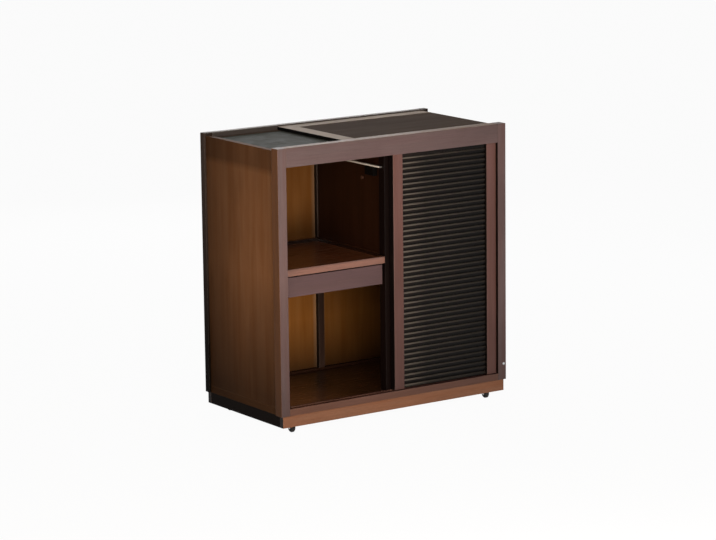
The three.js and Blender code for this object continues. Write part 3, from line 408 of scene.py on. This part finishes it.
# which finish each CAD node has, and the way its grain runs
corners = ("front_left", "front_right", "rear_left", "rear_right")
nodeFinishes = {
    ("frame", "z"): ["front_stile_left", "front_stile_right"],
    ("topRail", "x"): ["front_top_rail"],
    ("bottomRail", "x"): ["front_bottom_rail"],
    ("drawerFront", "x"): ["drawer_front"],
    ("rearFrame", "z"): ["rear_stile_left", "rear_stile_right"],
    ("rearPost", "z"): ["rear_post"],
    ("rearRail", "x"): ["rear_top_rail"],
    ("rearBottomRail", "x"): ["rear_bottom_rail"],
    ("side", "z"): ["side_panel_left", "side_panel_right"],
    ("sideRail", "y"): ["side_bottom_rail_left", "side_bottom_rail_right"],
    ("inner", "z"): ["back_panel_left", "back_panel_right"],
    ("deck", "x"): ["deck"],
    ("inner", "y"): ["drawer_bearer"],
    ("frontPost", "z"): ["front_post"],
    ("darkInner", "z"): ["partition"],
    ("shelf", "x"): ["shelf"],
    ("base", "x"): ["base_board"],
    ("door", "z"): ["door_stile_left", "door_stile_right"],
    ("ribs", "x"): ["door_top_rail", "door_bottom_rail", "door_ribbed_panel"],
    ("plinth", "x"): ["plinth_front", "plinth_rear"],
    ("plinthSide", "y"): ["plinth_left", "plinth_right"],
    ("strip", "y"): ["lid_left_strip"],
    ("strip", "x"): ["lid_front_strip", "lid_rear_strip"],
    ("lidPanel", "x"): ["lid_panel"],
    ("plain", "x"): ["drawer_back", "drawer_bottom", "castor_rail_front", "castor_rail_rear"],
    ("plain", "y"): ["drawer_side_left", "drawer_side_right", "drawer_runner_left"],
    ("rivenSlate", None): ["slate_tile"],
    ("anodisedAluminium", None): ["light_bar"],
    ("mouldedBlackPlastic", None): ["light_driver_box"],
    ("mouldedBrownPlastic", None): ["light_sensor"],
    ("brightZinc", None): [
        "stile_plug", *(f"castor_{part}_{c}" for part in ("plate", "fork") for c in corners)
    ],
    ("mouldedRubber", None): [f"castor_wheel_{c}" for c in corners],
}
for (kind, axis), names in nodeFinishes.items():
    for name in names:
        mesh = nodes[name].data
        mesh.materials.clear()
        mesh.materials.append(finish(kind, axis))
print("finishes given:", len(finishes))


# The opal diffuser of the light bar is a rounded strip along its left face, with its ends drawn in.
lens = dict(height=0.0042, proud=0.0009, endGap=0.004, rounding=0.0004, segments=3)
low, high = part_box("light_bar")
middle = (low.z + high.z) / 2
lensMesh = bpy.data.meshes.new("light_bar_lens")
shape = bmesh.new()
bmesh.ops.create_cube(shape, size=1.0)
lensSize = (lens["proud"], high.y - low.y - 2 * lens["endGap"], lens["height"])
bmesh.ops.scale(shape, verts=shape.verts, vec=lensSize)
bmesh.ops.bevel(
    shape, geom=[edge for edge in shape.edges if min(vertex.co.x for vertex in edge.verts) < 0],
    offset=lens["rounding"], segments=lens["segments"], profile=0.5, affect="EDGES",
)
bmesh.ops.translate(shape, verts=shape.verts, vec=(low.x - lens["proud"] / 2, (low.y + high.y) / 2, middle))
shape.to_mesh(lensMesh)
shape.free()
lensObject = bpy.data.objects.new("light_bar_lens", lensMesh)
bpy.context.scene.collection.objects.link(lensObject)
lensMesh.materials.append(finish("opalPolycarbonate"))
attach(lensObject, "carcass")
print("light bar lens built")

# The castor plates are held by pan-head screws with a six-lobed recess; each profile point is a radius and a
# depth below the plate, in mm, and the last two are the recess.
plateScrews = dict(edgeMm=4.6, plateMm=2.0, steps=24, lobes=6, lobeMm=0.16,
                   profile=[(2.3, 0.0), (2.3, 0.5), (2.0, 0.9), (1.5, 1.1), (1.2, 1.1), (1.1, 0.4)])
for corner in corners:
    low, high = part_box(f"castor_plate_{corner}")
    edge = plateScrews["edgeMm"] * mm
    shape = bmesh.new()
    for x in (low.x + edge, high.x - edge):
        for y in (low.y + edge, high.y - edge):
            rings = []
            for index, (radius, depth) in enumerate(plateScrews["profile"]):
                lobe = plateScrews["lobeMm"] if index >= len(plateScrews["profile"]) - 2 else 0
                ring = []
                for step in range(plateScrews["steps"]):
                    angle = 2 * math.pi * step / plateScrews["steps"]
                    reach = (radius + lobe * math.cos(plateScrews["lobes"] * angle)) * mm
                    ring.append(shape.verts.new((
                        x + reach * math.cos(angle), y + reach * math.sin(angle),
                        high.z - (plateScrews["plateMm"] + depth) * mm,
                    )))
                rings.append(ring)
            for upper, lower in zip(rings, rings[1:]):
                for step in range(plateScrews["steps"]):
                    after = (step + 1) % plateScrews["steps"]
                    shape.faces.new((upper[step], upper[after], lower[after], lower[step]))
            shape.faces.new(rings[0][::-1])
            shape.faces.new(rings[-1])
    bmesh.ops.recalc_face_normals(shape, faces=shape.faces)
    screwMesh = bpy.data.meshes.new(f"castor_screws_{corner}")
    shape.to_mesh(screwMesh)
    shape.free()
    screws = bpy.data.objects.new(f"castor_screws_{corner}", screwMesh)
    bpy.context.scene.collection.objects.link(screws)
    screwMesh.materials.append(finish("brightZinc"))
    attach(screws, "carcass")
print("castor screws built")


# camera, fitted to the corners of the cabinet in the photograph
view = dict(
    place=(-4.9549, -7.2339, 2.1283), azimuth=-34.459, elevation=11.131, roll=-0.679,
    focalPixels=3036.2, imageWidth=716, filmWidth=36.0,
)
cameraData = bpy.data.cameras.new("camera")
cameraData.sensor_fit = "HORIZONTAL"
cameraData.sensor_width = view["filmWidth"]
cameraData.lens = view["focalPixels"] * view["filmWidth"] / view["imageWidth"]
camera = bpy.data.objects.new("camera", cameraData)
bpy.context.scene.collection.objects.link(camera)
camera.matrix_world = (
    Matrix.Translation(view["place"])
    @ Matrix.Rotation(math.radians(view["azimuth"]), 4, "Z")
    @ Matrix.Rotation(math.radians(90 - view["elevation"]), 4, "X")
    @ Matrix.Rotation(math.radians(view["roll"]), 4, "Z")
)
bpy.context.scene.camera = camera

# light: a soft box in front on the left, a low one that shines into the cabinet, weak ones at the sides and
# above, and one behind that rims the top
lamps = {
    "key": dict(place=(-1.1, -2.0, 1.0), aim=(-0.1, 0, 0.45), size=(1.0, 1.0), power=20, colour="#fff4e6"),
    "low": dict(place=(-0.5, -1.9, 0.22), aim=(0, 0, 0.4), size=(1.4, 0.3), power=16, colour="#ffeed8"),
    "side": dict(place=(-1.9, -1.3, 0.9), aim=(-0.3, -0.1, 0.5), size=(0.8, 0.8), power=13, colour="#ffeed8"),
    "panel": dict(place=(2.3, -2.6, 0.8), aim=(0, 0, 0.4), size=(1.8, 1.8), power=5, colour="#f0f2ff"),
    "top": dict(place=(-0.1, -0.1, 2.6), aim=(0, 0, 0.4), size=(1.6, 1.6), power=6, colour="#fff8f0"),
    "right": dict(place=(2.6, 0.3, 1.3), aim=(0.4, 0, 0.4), size=(1.4, 1.4), power=12, colour="#fff8f0"),
    "back": dict(place=(1.2, 3.0, 1.6), aim=(0, 0, 0.4), size=(2.0, 2.0), power=40, colour="#f4f4f6"),
}
for lampName, lamp in lamps.items():
    data = bpy.data.lights.new(lampName, "AREA")
    data.shape = "RECTANGLE"
    data.size, data.size_y = lamp["size"]
    data.energy = lamp["power"]
    data.color = linear(lamp["colour"])[:3]
    light = bpy.data.objects.new(lampName, data)
    bpy.context.scene.collection.objects.link(light)
    light.location = lamp["place"]
    light.rotation_euler = (Vector(lamp["aim"]) - light.location).to_track_quat("-Z", "Y").to_euler()

# world and floor: white to the eye and in reflections and glass, and a pale soft light for the rest
whiteRays = ("Is Camera Ray", "Is Glossy Ray", "Is Transmission Ray")
sky = dict(strength=0.10, colour="#f4f4f6")
floorLook = dict(half=60.0, colour="#c8c8c8", kept=0.04)
world = bpy.data.worlds.new("softSky")
bpy.context.scene.world = world
world.use_nodes = True
world.node_tree.nodes.clear()
floorMaterial, floorTree = newMaterial("paleFloor")
floorShade = addNode(floorTree, "ShaderNodeBsdfDiffuse", {"Color": linear(floorLook["colour"])})
skyShade = addNode(
    world.node_tree, "ShaderNodeBackground", {"Color": linear(sky["colour"]), "Strength": sky["strength"]}
)
for tree, shade, whiteKind, kept, outputKind in (
    (world.node_tree, skyShade.outputs["Background"], "ShaderNodeBackground", 0.0, "ShaderNodeOutputWorld"),
    (floorTree, floorShade.outputs["BSDF"], "ShaderNodeEmission", floorLook["kept"],
     "ShaderNodeOutputMaterial"),
):
    rays = addNode(tree, "ShaderNodeLightPath").outputs
    seen = rays[whiteRays[0]]
    for ray in whiteRays[1:]:
        seen = addNode(tree, "ShaderNodeMath", {0: seen, 1: rays[ray]}, operation="MAXIMUM").outputs["Value"]
    share = addNode(tree, "ShaderNodeMath", {0: seen, 1: 1 - kept}, operation="MULTIPLY").outputs["Value"]
    white = addNode(tree, whiteKind, {"Color": linear("#ffffff"), "Strength": 1.0})
    mixed = addNode(tree, "ShaderNodeMixShader", {0: share, 1: shade, 2: white.outputs[0]})
    addNode(tree, outputKind, {"Surface": mixed.outputs["Shader"]})

half = floorLook["half"]
floorMesh = bpy.data.meshes.new("floor")
floorMesh.from_pydata(
    [(-half, -half, 0), (half, -half, 0), (half, half, 0), (-half, half, 0)], [], [(0, 1, 2, 3)]
)
floorMesh.materials.append(floorMaterial)
floor = bpy.data.objects.new("floor", floorMesh)
bpy.context.scene.collection.objects.link(floor)

bpy.context.scene.view_settings.view_transform = "Standard"
print("camera, light and floor set")
